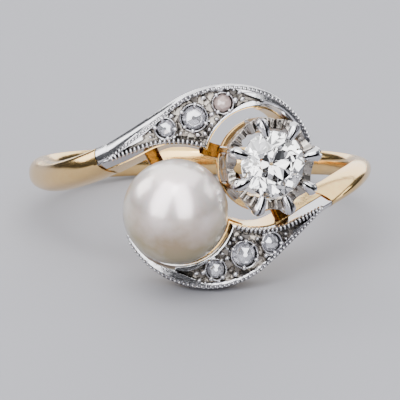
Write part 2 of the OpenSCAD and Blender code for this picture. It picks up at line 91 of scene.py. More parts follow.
# The gap between the two stones, and how far their line is turned from the finger's round.
pair_gap, pair_angle = 0.21, 26.6

pearl_r = pearl_d / 2
pearl_at = bore_r + pearl_lift + pearl_r
girdle_at = bore_r + girdle_lift
collet_r = diamond_d / 2 + claw_reach
print("Coronet", round(2 * collet_r, 2), "mm across, pearl", pearl_d)

# %% Sizes of a leaf
# The nest round a stone, the tip's width and turn, and the outer arc's middle as a share of the nest's.
nest_gap, tip_w, tip_angle, arc_share = 0.3, 0.15, 24, 0.27
# The arch over the other stone: its gap, and how far its middle lies down and aside.
arch_gap, arch_drop, arch_shift = 0.88, 1.5, 0.18
# Slopes of the arm and of the outer edge, the outer arc's turn beside the cusp, and the leaf's reach.
arm_slope, edge_slope, cusp_angle, leaf_reach = 20.6, 40, 112, 7.25
# The bevels outside the faces, how deep they go, the ridge they leave, and the raised border.
upper_bevel_w, lower_bevel_w, bevel_drop, ridge_w, border_w = 0.95, 0.35, 0.55, 0.12, 0.3

bevel_r = face_r - bevel_drop

# %% [markdown]
# ## Drawing a leaf
# A leaf is bounded by arcs: one outside, one round its main stone's nest and one over the other
# stone. Two arcs of the inner edge meet in a cusp. A curve could be traced, but a few formulas give
# any point of it, so a piece can be made as fine as it needs to be. Stations count along the leaf,
# from 0 at the tip over the cusp and the end of the arch to the joint with the arm.

# %% Directions and blends
def way(a):
    """The direction at an angle in degrees."""
    return Vector((cos(radians(a)), sin(radians(a))))


def mix(a, b, t):
    return a + (b - a) * t


def smooth(t):
    """From 0 to 1 as t does, slowly at both ends."""
    t = max(0.0, min(1.0, t))
    return t * t * (3 - 2 * t)


def turn_of(c, p):
    return degrees(atan2(p.y - c.y, p.x - c.x))


def meet(a, ra, b, rb):
    """Where two circles cross."""
    d = (b - a).length
    e = (b - a) / d
    x = (d * d + ra * ra - rb * rb) / (2 * d)
    return a + x * e + sqrt(max(0, ra * ra - x * x)) * Vector((e.y, -e.x))


def cross_len(p, d, q, e):
    """How far along d from p the line from q along e is crossed."""
    return ((q.x - p.x) * e.y - (q.y - p.y) * e.x) / (d.x * e.y - d.y * e.x)


# %% The arcs of a leaf
pair_half = (pearl_r + collet_r + pair_gap) / 2
stone_u = pair_half * cos(radians(pair_angle)) / pearl_at
nest = Vector((stone_u * face_r, pair_half * sin(radians(pair_angle))))
nest_r = max(pearl_r, collet_r) + nest_gap
collet_at = nest + Vector((collet_shift, 0))
arc_c = arc_share * nest
arc_r = nest_r + tip_w + (nest - arc_c).length
arch_c = -nest - Vector((arch_shift, arch_drop))
arch_r = pearl_r + arch_gap + arch_drop
inner_dir = -way(arm_slope)
outer_dir = -way(edge_slope)
outer_end = arc_c + arc_r * way(90 + edge_slope)
print("Outer arc", round(arc_r, 2), "mm, arch", round(arch_r, 2), "mm")

# %% Lengths along a leaf
nest_steps, arch_steps, ridge_steps = 16, 14, 2
leaf_steps = nest_steps + arch_steps + ridge_steps


def arch_end(off):
    return arch_c + (arch_r - off) * way(90 + arm_slope)


inner_line = cross_len(arch_end(0), inner_dir, outer_end, outer_dir)
outer_line = cross_len(outer_end, outer_dir, arch_end(0), inner_dir)
joint_line = (leaf_reach + arch_end(0).x) / cos(radians(arm_slope))
outer_arc = arc_r * radians(90 + edge_slope - cusp_angle)
crown_len = arc_r * radians(edge_slope) + outer_line


def arch_part(i):
    """How much of the arch lies behind station i."""
    return min(1, (i - nest_steps) / arch_steps)


def ridge_len(i):
    return max(0, i - nest_steps - arch_steps) / ridge_steps * (joint_line - inner_line)


# %% The inner edge
def cusp(off):
    return meet(nest, nest_r - off, arch_c, arch_r - off)


def inner_at(i, off):
    """A point of the inner edge at station i, moved by off towards the stones."""
    corner = cusp(off)
    if i <= nest_steps:
        turn = mix(tip_angle, turn_of(nest, corner), i / nest_steps)
        return nest + (nest_r - off) * way(turn)
    r = arch_r - off
    start = turn_of(arch_c, corner)
    arc = r * radians(90 + arm_slope - start)
    length = arch_part(i) * (arc + inner_line) + ridge_len(i)
    if length < arc:
        return arch_c + r * way(start + degrees(length / r))
    return arch_end(off) + (length - arc) * inner_dir


def inner_edge(i, off):
    return inner_at(i, off + ridge_w / 2)


# %% The outer edge
tip_turn = turn_of(arc_c, inner_at(0, 0))


def outer_turn(i):
    if i <= nest_steps:
        return mix(tip_turn, cusp_angle, i / nest_steps)
    turned = degrees(arch_part(i) * (outer_arc + outer_line) / arc_r)
    return min(90 + edge_slope, cusp_angle + turned)


def outer_beyond(i):
    """How far station i lies past the end of the outer arc."""
    return max(0, arch_part(i) * (outer_arc + outer_line) - outer_arc) if i > nest_steps else 0


def outer_at(i):
    return arc_c + arc_r * way(outer_turn(i)) + outer_beyond(i) * outer_dir + ridge_len(i) * inner_dir


def outer_way(i):
    """The direction straight out from the outer edge."""
    if i <= nest_steps + arch_steps:
        return way(outer_turn(i))
    return way(90 + (arm_slope + edge_slope) / 2)


def bevel_share(i):
    """The bevel grows from nothing at the crown of the arc to its full width at the arm."""
    length = arc_r * radians(outer_turn(i) - 90) + outer_beyond(i)
    return max(0, length / crown_len) ** 2


def face_edge(i):
    return outer_at(i) + ridge_w / 2 * outer_way(i)


def side_edge(i, bevel):
    return face_edge(i) + bevel * bevel_share(i) * outer_way(i)


# %% [markdown]
# ## Two leaves that differ by hand
# The lower leaf is the upper one turned half a turn, but the two were made by hand. Each has its own
# bevel, starts at its own station, and is broader at its tip on the inner side by its own amount. Two
# drawings would repeat everything, so each leaf has a short table that the same functions read.

# %% Each leaf's own sizes
upper = {"bevel": upper_bevel_w, "slim": 0, "start": -0.9, "tip_in": 0.26, "bead_in": 0.2}
lower = {"bevel": lower_bevel_w, "slim": right_slim, "start": 0.5, "tip_in": 0.06, "bead_in": 0.09}
tip_stations, arm_bead_in = 8, 0.1


def on_ring(p, r):
    """A point of the unrolled face at radius r, on the ring whose head looks along -Y."""
    u = p.x / face_r
    return Vector((r * sin(u), -r * cos(u), p.y))


def tip_growth(i, leaf):
    """How much broader the narrow end is on its inner side, where it meets a claw or the cup."""
    return leaf["tip_in"] * (1 - smooth(i / tip_stations))


def bead_in(i, leaf):
    """How far in from the face's outer edge the millegrain runs."""
    return mix(leaf["bead_in"], arm_bead_in, bevel_share(i))


def stations_of(leaf, per_step):
    """Stations from the leaf's tip to its joint with the arm."""
    steps = round((leaf_steps - leaf["start"]) * per_step)
    return [mix(leaf["start"], leaf_steps, n / steps) for n in range(steps + 1)]


cusp_w = (outer_at(nest_steps) - inner_at(nest_steps, 0)).length
print("A leaf is", round(cusp_w, 2), "mm wide at its cusp")

# %% [markdown]
# ## From a shape to a piece
# Every piece goes through the same last steps: doubles merged, normals outwards, edges sharper than
# a limit kept crisp while the rest shades smoothly, and the mesh turned into its place on the table.
# The object itself stays at the origin, so its place is in its mesh.

# %% Finishing a piece
def standing_at(p):
    """From a stone's own axis, with z as the distance from the finger's axis, to the ring."""
    return (
        Matrix.Translation((0, 0, p.y))
        @ Matrix.Rotation(p.x / face_r, 4, "Z")
        @ Matrix.Rotation(pi / 2, 4, "X")
    )


half_turn = Matrix.Rotation(pi, 4, "Y")


def piece(name, bm, material, crisp=30, replaces=(), place=None, floor_finish=None):
    bmesh.ops.remove_doubles(bm, verts=bm.verts, dist=1e-5)
    bmesh.ops.recalc_face_normals(bm, faces=bm.faces)
    bm.transform(ring_place @ (place or Matrix.Identity(4)))
    for face in bm.faces:
        face.smooth = crisp > 0
    for edge in bm.edges:
        edge.smooth = edge.calc_face_angle(0) < radians(crisp)
    mesh = bpy.data.meshes.new(name)
    triangles = sum(len(face.verts) - 2 for face in bm.faces)
    open_edges = sum(1 for edge in bm.edges if not edge.is_manifold)
    bm.to_mesh(mesh)
    bm.free()
    made = bpy.data.objects.new(name, mesh)
    bpy.context.scene.collection.objects.link(made)
    mesh.materials.append(material)
    if floor_finish:
        mesh.materials.append(floor_finish)
    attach(made, "root")
    if replaces:
        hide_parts(*replaces)
    print(name, triangles, "triangles,", open_edges, "open edges")
    return made


# %% A skin through sections
def wrapped(rows, around=False, is_floor=None):
    """A skin through rows of points, each a closed section. Its floor gets the second finish."""
    columns = len(rows[0])
    lines = len(rows) + (1 if around else 0)
    bm = bmesh.new()
    bmesh.ops.create_grid(bm, x_segments=columns, y_segments=lines - 1, size=1)
    for n, vert in enumerate(bm.verts):
        line, column = divmod(n, columns + 1)
        vert.co = rows[line % len(rows)][column % columns]
    bm.verts.index_update()
    for face in bm.faces:
        if is_floor and all(is_floor(vert.index % (columns + 1), vert.co) for vert in face.verts):
            face.material_index = 1
    bmesh.ops.remove_doubles(bm, verts=bm.verts, dist=1e-5)
    rim = [edge for edge in bm.edges if edge.is_boundary]
    if rim:
        bmesh.ops.holes_fill(bm, edges=rim, sides=0)
    return bm


def joined(parts):
    """Several meshes as one."""
    whole = bmesh.new()
    for part in parts:
        mesh = bpy.data.meshes.new("part")
        part.to_mesh(mesh)
        part.free()
        whole.from_mesh(mesh)
        bpy.data.meshes.remove(mesh)
    return whole


# %% [markdown]
# ## Nodes
# A finish is a small tree of nodes. They could be added and linked one call at a time, but one
# function that adds a node with its settings and links lets a finish read from top to bottom.

# %% Colours and nodes
def linear(hex_colour):
    parts = [int(hex_colour[k:k + 2], 16) / 255 for k in (1, 3, 5)]
    return [c / 12.92 if c <= 0.04045 else ((c + 0.055) / 1.055) ** 2.4 for c in parts] + [1]


def add(tree, kind, inputs=None, **settings):
    made = tree.nodes.new(kind)
    for key, value in settings.items():
        setattr(made, key, value)
    shown = {socket.name: socket for socket in made.inputs if socket.enabled}
    for key, value in (inputs or {}).items():
        if isinstance(value, bpy.types.NodeSocket):
            tree.links.new(value, shown[key])
        else:
            shown[key].default_value = value
    return made


def out_of(node):
    """The one result a node gives in the mode it is in."""
    return next(socket for socket in node.outputs if socket.enabled)


def finish(name, inputs):
    """A material with a Principled shader, and its tree."""
    made = bpy.data.materials.new(name)
    made.use_nodes = True
    tree = made.node_tree
    shader = tree.nodes["Principled BSDF"]
    for key, value in inputs.items():
        shader.inputs[key].default_value = value
    print("Finish:", name)
    return made, tree, shader


# %% [markdown]
# ## Polished and unpolished metals
# Polished metal is almost only what it mirrors, so its own colour is one value and the life comes
# from wear. The polishing mop leaves a mottled sheen and the faintest ripple. Shade is also painted
# into the corners: the colour is darkened near them. A painted map could show those corners, but an
# Ambient Occlusion node finds them by itself. The mottle is drawn as patches of half a millimetre
# and the fine wear as patches of a tenth, both coarser than on the real metal, so that they show.

# %% Metal
mm = 1000
mottles_per_mm, fine_marks_per_mm = 2.2, 11
ripple_depth = 0.05 / mm


def metal(name, colour, worn, corners, roughness, ripple, shade_strength=0.9, reach=0.28):
    """A metal with a sheen between two roughnesses, and painted shade: darker within reach of a corner.
    """
    made, tree, shader = finish(name, {"Metallic": 1})
    place = add(tree, "ShaderNodeTexCoord").outputs["Object"]
    mottle = add(
        tree, "ShaderNodeTexNoise",
        {"Vector": place, "Scale": mottles_per_mm * mm, "Detail": 4},
    )
    fine = add(
        tree, "ShaderNodeTexNoise",
        {"Vector": place, "Scale": fine_marks_per_mm * mm, "Detail": 3},
    )
    tint = add(
        tree, "ShaderNodeMix",
        {"Factor": mottle.outputs["Fac"], "A": linear(colour), "B": linear(worn)},
        data_type="RGBA",
    )
    # Painted shade: the Ambient Occlusion node finds corners, and there the colour is darkened.
    corner = add(tree, "ShaderNodeAmbientOcclusion", {"Distance": reach / mm}, samples=8)
    unshaded = add(
        tree, "ShaderNodeMapRange",
        {
            "Value": corner.outputs["AO"], "From Min": 0.25, "From Max": 0.8,
            "To Min": 1 - shade_strength, "To Max": 1,
        },
    )
    tint = add(
        tree, "ShaderNodeMix",
        {"Factor": out_of(unshaded), "A": linear(corners), "B": out_of(tint)},
        data_type="RGBA",
    )
    sheen = add(
        tree, "ShaderNodeMapRange",
        {
            "Value": fine.outputs["Fac"], "From Min": 0.3, "From Max": 0.7,
            "To Min": roughness[0], "To Max": roughness[1],
        },
    )
    bump = add(
        tree, "ShaderNodeBump",
        {"Height": mottle.outputs["Fac"], "Strength": ripple, "Distance": ripple_depth},
    )
    tree.links.new(out_of(tint), shader.inputs["Base Color"])
    tree.links.new(out_of(sheen), shader.inputs["Roughness"])
    tree.links.new(bump.outputs["Normal"], shader.inputs["Normal"])
    return made


# %% Gold
# 18 carat gold, polished by hand: a soft, pale yellow mirror, with brown shade painted in its corners.
gold = metal(
    "polished_18_carat_gold", "#f0ce90", worn="#e6bc78", corners="#8a5a20",
    roughness=(0.1, 0.22), ripple=0.18, shade_strength=0.6,
)
# The same gold, rougher where no mop reached, painted dark brown as shade and near black in corners.
shaded_gold = metal(
    "unpolished_18_carat_gold_in_painted_shade", "#80541c", worn="#5c3a12", corners="#2c1604",
    roughness=(0.14, 0.3), ripple=0.6, reach=0.9,
)

# %% Platinum
# Polished platinum: a cool white mirror, a little softer than new from years of wear. Grey shade is
# painted into its corners.
platinum = metal(
    "polished_platinum", "#dedde0", worn="#d0d0d4", corners="#767476",
    roughness=(0.1, 0.22), ripple=0.2, shade_strength=0.7,
)
# Platinum cut by a graver: each bright cut mirrors its own way. The ground between is painted a darker
# grey brown as shade, near black in its corners.
shaded_cut_platinum = metal(
    "bright_cut_platinum_in_painted_shade", "#aaa39c", worn="#767068", corners="#2e2b28",
    roughness=(0.12, 0.3), ripple=0.5,
)
# Platinum fluted with a file: bright on the crests. Its colour is painted a darker brown grey as
# shade, in patches and most of all in the flutes.
shaded_fluted_platinum = metal(
    "hand_fluted_platinum_in_painted_shade", "#c8c2bc", worn="#8a827a", corners="#2a2420",
    roughness=(0.1, 0.26), ripple=0.5, reach=0.5,
)

# %% [markdown]
# ## Stones
# A diamond has no colour of its own. What makes it sparkle is its high IOR, which throws the light
# about between its facets, so the old cut stone is the solid itself in clear diamond. The rose cuts
# are shallow and their backs are closed by the metal, so part of what they show is a mirror.

# %% Diamonds
diamond_ior = 2.417
# Clear diamond, cut and polished: sharp, bright and dark flashes.
diamond, _, _ = finish(
    "old_cut_diamond",
    {"Base Color": linear("#ffffff"), "Roughness": 0, "IOR": diamond_ior, "Transmission Weight": 1},
)
# Rose cut diamond on a closed back: silvery facets that are half clear.
rose_diamond, _, _ = finish(
    "rose_cut_diamond",
    {
        "Base Color": linear("#e8e8ee"), "Metallic": 0.5, "Roughness": 0.06,
        "IOR": diamond_ior, "Transmission Weight": 0.6,
    },
)
# A milky diamond: pinkish, cloudy inside and still glossy outside.
milky_diamond, _, _ = finish(
    "milky_rose_cut_diamond",
    {
        "Base Color": linear("#cdb6b0"), "Roughness": 0.07,
        "IOR": diamond_ior, "Transmission Weight": 0.2,
    },
)

# %% [markdown]
# ## Nacre
# A pearl is made of thousands of layers of nacre. They give it three things at once: a deep soft
# mirror, a sharper one on its skin, and faint rainbow tints. Without them it would look like a glazed
# bead, so a metallic share, a coat and a thin film stand for them. Light and shade are painted into
# the body colour: warmer and darker low down, where it faces its gold cup and the table, and near
# white above, where the light falls.

# %% Nacre
nacre, tree, shader = finish(
    "pearl_nacre",
    {
        "Metallic": 0.5, "Roughness": 0.3, "IOR": 2,
        "Subsurface Weight": 0.15, "Subsurface Scale": 0.5 / mm,
        "Coat Weight": 1, "Coat Roughness": 0.19, "Coat IOR": 2.4,
        "Thin Film Thickness": 430, "Thin Film IOR": 1.6,
    },
)
clouds_per_mm, dimples_per_mm = 0.6, 3
shaded_below, lit_above = 3.5 / mm, 6.2 / mm
place = add(tree, "ShaderNodeTexCoord").outputs["Object"]
clouds = add(
    tree, "ShaderNodeTexNoise",
    {"Vector": place, "Scale": clouds_per_mm * mm, "Detail": 3},
)
# Painted light and shade: a shaded warm tan low down, a lit near white on top, and random clouds.
height = add(tree, "ShaderNodeSeparateXYZ", {"Vector": place}).outputs["Z"]
body = add(
    tree, "ShaderNodeMapRange",
    {"Value": height, "From Min": shaded_below, "From Max": lit_above, "To Min": -0.5, "To Max": 0.5},
)
painted_light_and_clouds = add(tree, "ShaderNodeMath", operation="ADD", use_clamp=True)
tree.links.new(out_of(body), painted_light_and_clouds.inputs[0])
tree.links.new(clouds.outputs["Fac"], painted_light_and_clouds.inputs[1])
tint = add(
    tree, "ShaderNodeMix",
    {"Factor": out_of(painted_light_and_clouds), "A": linear("#958352"), "B": linear("#eee4e0")},
    data_type="RGBA",
)
dimples = add(
    tree, "ShaderNodeTexNoise",
    {"Vector": place, "Scale": dimples_per_mm * mm, "Detail": 2},
)
bump = add(
    tree, "ShaderNodeBump",
    {"Height": dimples.outputs["Fac"], "Strength": 0.12, "Distance": ripple_depth},
)
tree.links.new(out_of(tint), shader.inputs["Base Color"])
tree.links.new(bump.outputs["Normal"], shader.inputs["Normal"])

# %% [markdown]
# ## The gold hoop
# The hoop is one bar of gold. Under each leaf it is flat on top, for the platinum to sit on, and it
# leaves the leaf as a sharp ridged arm that rounds into a plain half round band at the back. A sweep
# tool would need a new profile at every step, so rows of points are wrapped instead: half of the
# ring is drawn and the other half is the same, turned over.

# %% Under a leaf
# How far the gold's lip and flare reach past a leaf towards the stone, and how far its side is undercut.
gold_lip, gold_flare, gold_draft = 0.12, 0.55, 0.3
arm_lip, nest_flare, cusp_flare = 0.34, 0.2, 0.36
# The stations where the flare of the cusp and that of the arm set in, and how long they take.
cusp_flare_start, cusp_flare_run, arm_start, arm_run = 15, 3, 21, 8
# How much the finger's side is rounded at the back, and how much higher its corners are there.
inside_round, corner_lift = 0.26, 0.2
dome_steps, inside_steps = 16, 12


def toward_arm(i):
    """0 along the stones, 1 where the leaf becomes its arm."""
    return smooth((i - arm_start) / arm_run)


def lip_off(i):
    return mix(gold_lip, arm_lip, toward_arm(i))


def inside(start, end, softness):
    """The finger's side of a section: flat under the leaves, gently rounded at the back."""
    row = []
    for k in range(inside_steps):
        t = k / inside_steps
        rise = inside_round * softness * abs(2 * t - 1) ** 3
        row.append(on_ring(mix(start, end, t), bore_r + rise))
    return row


def leaf_section(i, leaf, shift):
    """The gold under a leaf, from its undercut side over its flat top to the flared lip."""
    side = side_edge(i, leaf["bevel"]) + shift
    grown = tip_growth(i, leaf)
    drawn_in = side - gold_draft * outer_way(i)
    lip = inner_edge(i, lip_off(i) + grown) + shift
    flare = mix(nest_flare, cusp_flare, smooth((i - cusp_flare_start) / cusp_flare_run))
    foot = inner_edge(i, mix(flare, gold_flare, toward_arm(i)) + grown) + shift
    top = [on_ring(mix(side, lip, k / dome_steps), gold_r) for k in range(dome_steps + 1)]
    return (
        [on_ring(drawn_in, bore_r), on_ring(drawn_in, bore_r + edge_w)]
        + top
        + [on_ring(foot, bore_r + edge_w)]
        + inside(foot, drawn_in, 0)
    )


# %% Arm and back
side_x = radians(side_angle) * face_r
seam = clear * inner_dir
# Exponents of the arm's outline: nearly a ridge beside the leaf, a full dome at the back.
arm_sharp, arm_full = 1.6, 2.2
chamfer = edge_w * edge_w / (edge_w + 1.25 * edge_w)


def dome(a, full):
    return max(0, a) ** (2 / full)


def hoop_section(top, ridge, low, top_r, ridge_r, low_r, full, draft):
    """A section with a ridge between its two edges, each at its own radius."""
    drawn_in = top - Vector((0, draft))
    softness = smooth((full - arm_sharp) / (arm_full - arm_sharp))
    row = [
        on_ring(drawn_in - Vector((0, chamfer)), bore_r + inside_round * softness),
        on_ring(drawn_in, bore_r + edge_w + corner_lift * softness),
    ]
    for k in range(dome_steps + 1):
        a = pi * k / dome_steps
        side, side_r = (top, top_r) if k < dome_steps / 2 else (low, low_r)
        row.append(on_ring(
            mix(ridge, side, dome(abs(cos(a)), full)),
            mix(side_r, ridge_r, dome(sin(a), full)),
        ))
    row.append(on_ring(low, bore_r + edge_w + corner_lift * softness))
    return row + inside(low + Vector((0, chamfer)), drawn_in - Vector((0, chamfer)), softness)


def arm_edge(start, end, t):
    """An edge of the arm, which leaves along the arm's slope and ends straight round the finger."""
    run = start.x - end.x
    dip = tan(radians(arm_slope)) * run * t * (1 - t) ** 2
    return Vector((mix(start.x, end.x, t), mix(start.y, end.y, smooth(t)) - dip))


def arm_section(t, leaf):
    slim = leaf["slim"]
    side = side_edge(leaf_steps, leaf["bevel"]) + 2 * seam
    ridge = inner_at(leaf_steps, 0) + 2 * seam
    low = inner_edge(leaf_steps, gold_flare) + 2 * seam
    return hoop_section(
        arm_edge(side, Vector((-side_x, side_w / 2 - slim)), t),
        arm_edge(ridge, Vector((-side_x, -slim / 2)), t),
        arm_edge(low, Vector((-side_x, -side_w / 2)), t),
        mix(bevel_r, bore_r + wall_h, smooth(t)),
        mix(face_r, bore_r + side_t, smooth(t)),
        bore_r + mix(edge_w * 1.5, wall_h, smooth(t)),
        mix(arm_sharp, arm_full, smooth(3 * t)),
        gold_draft * (1 - smooth(t)),
    )


def back_section(t, slim):
    x = -mix(side_x, pi * face_r, t)
    w = mix(side_w, back_w, smooth(t)) / 2
    top = w - slim * (1 - smooth(t))
    return hoop_section(
        Vector((x, top)), Vector((x, (top - w) / 2)), Vector((x, -w)),
        bore_r + wall_h, bore_r + mix(side_t, back_t, smooth(t)), bore_r + wall_h, arm_full, 0,
    )


# %% The hoop
rows_per_station, arm_steps, back_steps = 6, 48, 60


def half_hoop(leaf):
    under_leaf = [
        leaf_section(i, leaf, seam if i == leaf_steps else Vector((0, 0)))
        for i in stations_of(leaf, rows_per_station)
    ]
    arm = [arm_section(k / arm_steps, leaf) for k in range(arm_steps + 1)]
    back = [back_section(k / back_steps, leaf["slim"]) for k in range(1, back_steps + 1)]
    return under_leaf + arm + back


def half_turned(row):
    """A section turned over with the other half of the ring, read round from the same corner."""
    turned = [Vector((-p.x, p.y, -p.z)) for p in reversed(row)]
    return turned[inside_steps - 1:] + turned[:inside_steps - 1]


right_half = half_hoop(lower)[:-1]
hoop_rows = half_hoop(upper) + [half_turned(row) for row in reversed(right_half)]
piece("gold_hoop", wrapped(hoop_rows), gold, crisp=32, replaces=["shank"])

# %% [markdown]
# ## The gallery
# Short round bars of gold tie the leaves, the pearl's cup and the coronet's base ring together under
# the stones. A bent bar would need a curve, but these are straight, so each is a cylinder drawn out
# between two distances from its stone. Its ends are let into what it joins, and what would stand
# above the gold is pressed down onto it. No mop reaches the bars, so they stay unpolished, and their
# gold is painted a dark brown as shade.

# %% Gallery bars
base_lift, base_t, cup_wall, cup_h = 1.35, 0.95, 0.3, 0.95
bar_w, bar_h, bar_in, bar_sides, bar_cuts = 0.8, 0.85, 0.35, 32, 10
bar_lift = base_lift - base_t / 2


def bar(stone, turn, start, end):
    bm = bmesh.new()
    bmesh.ops.create_cone(bm, cap_ends=True, segments=bar_sides, radius1=0.5, radius2=0.5, depth=1)
    bm.transform(Matrix.Diagonal((end - start, bar_w, bar_h, 1)) @ Matrix.Rotation(pi / 2, 4, "Y"))
    long_edges = [e for e in bm.edges if abs(e.verts[0].co.x - e.verts[1].co.x) > 0.1]
    bmesh.ops.subdivide_edges(bm, edges=long_edges, cuts=bar_cuts, use_grid_fill=True)
    bmesh.ops.translate(bm, vec=((start + end) / 2, 0, bore_r + bar_lift), verts=bm.verts)
    bm.transform(standing_at(stone) @ Matrix.Rotation(radians(turn), 4, "Z"))
    pearl_c = standing_at(-nest) @ Vector((0, 0, pearl_at))
    highest = gold_r - clear
    nearest = pearl_r + clear + cup_wall / 2
    for vert in bm.verts:
        out = hypot(vert.co.x, vert.co.y)
        if out > highest:
            vert.co.x *= highest / out
            vert.co.y *= highest / out
        away = vert.co - pearl_c
        if away.length < nearest:
            vert.co = pearl_c + away.normalized() * nearest
    return bm


# %% Where the bars run
# From a stone towards the leaf over it, the cusp beside it, or the other stone.
arch_bar_angle, cusp_bar_angle = 118, 340
# The bar to the upper leaf's cusp was set by hand: turned back a little and kept short of the edge.
upper_cusp_turn, upper_cusp_short = cusp_bar_angle - 176, 0.45
cup_start = pearl_r - cup_h - bar_in
ring_start = collet_r - collet_shift - bar_in
ring_end = 2 * pair_half + collet_shift - collet_r + bar_in
arch_end_r = pearl_r + arch_gap + bar_in
cusp_end_r = nest_r + bar_in
# The bars take the gold whose colour is painted dark brown as shade.
piece("gold_gallery_bars", joined([
    bar(-nest, arch_bar_angle, cup_start, arch_end_r),
    bar(-nest, cusp_bar_angle, cup_start, cusp_end_r),
    bar(-nest, pair_angle, cup_start, ring_end),
    bar(nest, arch_bar_angle + 180, ring_start, arch_end_r),
    bar(nest, upper_cusp_turn, ring_start, cusp_end_r - upper_cusp_short),
]), shaded_gold)

# %% [markdown]
# ## Turned gold: the pearl's cup and the base ring
# Both are round about their stone's axis, so each is one outline spun a full turn, as on a lathe.
# The pearl is glued on a peg that stands in the cup.

# %% Spinning
def spun(outline, steps):
    """A closed outline of (distance from the axis, height) points, spun round the axis."""
    bm = bmesh.new()
    verts = [bm.verts.new((r, 0, z)) for r, z in outline]
    edges = [bm.edges.new((verts[k - 1], verts[k])) for k in range(len(verts))]
    bmesh.ops.spin(
        bm, geom=verts + edges, cent=(0, 0, 0), axis=(0, 0, 1),
        angle=2 * pi, steps=steps, use_merge=True,
    )
    bmesh.ops.remove_doubles(bm, verts=bm.verts, dist=1e-5)
    bmesh.ops.dissolve_degenerate(bm, edges=bm.edges, dist=1e-5)
    on_axis = [e for e in bm.edges if e.is_wire]
    bmesh.ops.delete(bm, geom=on_axis, context="EDGES")
    return bm


def rounded(bm, edges, size):
    bmesh.ops.bevel(
        bm, geom=edges, offset=size, segments=3, profile=0.5, affect="EDGES", material=-1
    )


def arc_points(r, start, end, steps):
    """Points of an arc round the pearl's middle."""
    turns = [radians(mix(start, end, k / steps)) for k in range(steps + 1)]
    return [(r * cos(a), pearl_at + r * sin(a)) for a in turns]


def rise_at(r, z):
    """The angle at which an arc of radius r round the pearl's middle is as high as z."""
    return degrees(atan2(z - pearl_at, sqrt(r ** 2 - (z - pearl_at) ** 2)))


# %% The pearl's cup
peg_d, peg_len, turned_steps, rim_round = 0.8, 2, 96, 0.06
cup_r = pearl_r + clear + cup_wall
cup_top = bore_r + pearl_lift + cup_h
hollow_r = pearl_r + clear
peg_foot = -degrees(atan2(sqrt(hollow_r ** 2 - (peg_d / 2) ** 2), peg_d / 2))
peg_top = bore_r + pearl_lift + peg_len
cup_outline = (
    [(0, peg_top), (peg_d / 2 - rim_round, peg_top), (peg_d / 2, peg_top - rim_round)]
    + arc_points(hollow_r, peg_foot, rise_at(hollow_r, cup_top), 20)
    + arc_points(cup_r, rise_at(cup_r, cup_top), -90, 24)
)
cup = spun(cup_outline[:-1] + [(0, pearl_at - cup_r)], turned_steps)
rim_edges = [
    e for e in cup.edges
    if e.calc_face_angle(0) > radians(40) and all(abs(v.co.z - cup_top) < 1e-4 for v in e.verts)
]
rounded(cup, rim_edges, rim_round)
piece("gold_pearl_cup", cup, gold, place=standing_at(-nest))

# %% The base ring
# The ring leans inwards below its rim. It was soldered on a little down and to the right.
base_w, base_rim_h, base_round = 0.8, 0.25, 0.05
base_lean = base_w * 0.4
base_at = bore_r + base_lift
foot_shift = Vector((0.15, -0.15))
base = spun([
    (collet_r - base_w - base_lean / 2, base_at - base_t), (collet_r - base_lean, base_at - base_t),
    (collet_r, base_at - base_rim_h), (collet_r, base_at), (collet_r - base_w, base_at),
], turned_steps)
rounded(base, [e for e in base.edges if e.calc_face_angle(0) > radians(20)], base_round)
bmesh.ops.translate(base, vec=(foot_shift.x, foot_shift.y, 0), verts=base.verts)
piece("gold_base_ring", base, gold, place=standing_at(collet_at))

# %% [markdown]
# ## The platinum leaves
# Each leaf is a plate with a raised border on both sides and a floor cut away between them, in which
# the stones sit. It could be cut with booleans, but a graver leaves hundreds of small facets, so the
# plate is a fine grid whose points are lowered by what the graver took away at that spot. The floor
# gets the finish of the bright cuts, painted darker as shade, and the borders stay polished.

# %% Where the stones sit
small_stone_d, large_stone_d = 1, 1.35
# Each stone: its turn on the outer arc, its share of the arc's radius and its diameter.
leaf_stones = [
    (142, 0.88, small_stone_d), (120.6, 0.763, large_stone_d), (95.7, 0.815, small_stone_d),
]
stone_spots = [(arc_c + share * arc_r * way(turn), d / 2, turn) for turn, share, d in leaf_stones]
seat_r = plate_r + plate_t / 4
seat_play, seat_land = 0.055, 0.05
print("Stones at", [[round(c, 2) for c in spot] for spot, r, turn in stone_spots])


def beside_stones(p, edge, depth):
    """The seat under a stone, a narrow land round it, and beyond it the depth that was cut."""
    for c, r, turn in stone_spots:
        gap = (p - c).length - r
        if gap < (seat_play if edge > 0 else 0):
            return face_r - seat_r
        if edge > 0:
            spread = smooth((gap - 0.1) / 0.08) * smooth((edge + gap - 0.12) / 0.3)
            depth = mix(seat_land, depth, spread)
    return depth


# %% The floor
cell, cell_slope, cell_step = 0.45, 0.3, 0.04
floor_cut, floor_wall = 0.24, 0.07
cuts_start, cuts_end = 8, 23


def facet_cut(p):
    """The small flat cuts between the stones: each cell is tilted its own way."""
    spot = Vector((p.x / cell, p.y / cell, 0))
    near = noise.voronoi(spot)[1][0]
    tilt = noise.cell_vector(near * 7.3) - Vector((0.5, 0.5, 0.5))
    slope = (spot.x - near.x) * tilt.x + (spot.y - near.y) * tilt.y
    return cell_slope * slope + cell_step * tilt.z


def floor_depth(p, i, edge):
    """The floor at a point that lies edge inside the nearer border."""
    depth = floor_cut * smooth(edge / floor_wall)
    if cuts_start < i < cuts_end and edge > 0:
        fading = smooth((i - cuts_start) / 3) * smooth((cuts_end + 0.5 - i) / 2)
        depth += facet_cut(p) * smooth(edge / 0.1) * fading
    return depth


# %% The borders
# The floor opens from a point near the tip to its full width. The beads end before the joint.
wedge_tip, wedge_end, beads_end = 7.4, 11.2, 30.2
inner_land_w, land_share = 0.2, 0.38
groove_depth, groove_half = 0.1, 0.05
tip_round, joint_sink, comb_sink = 0.12, 0.02, 0.16
nest_step, nest_step_w = 0.4, 0.06


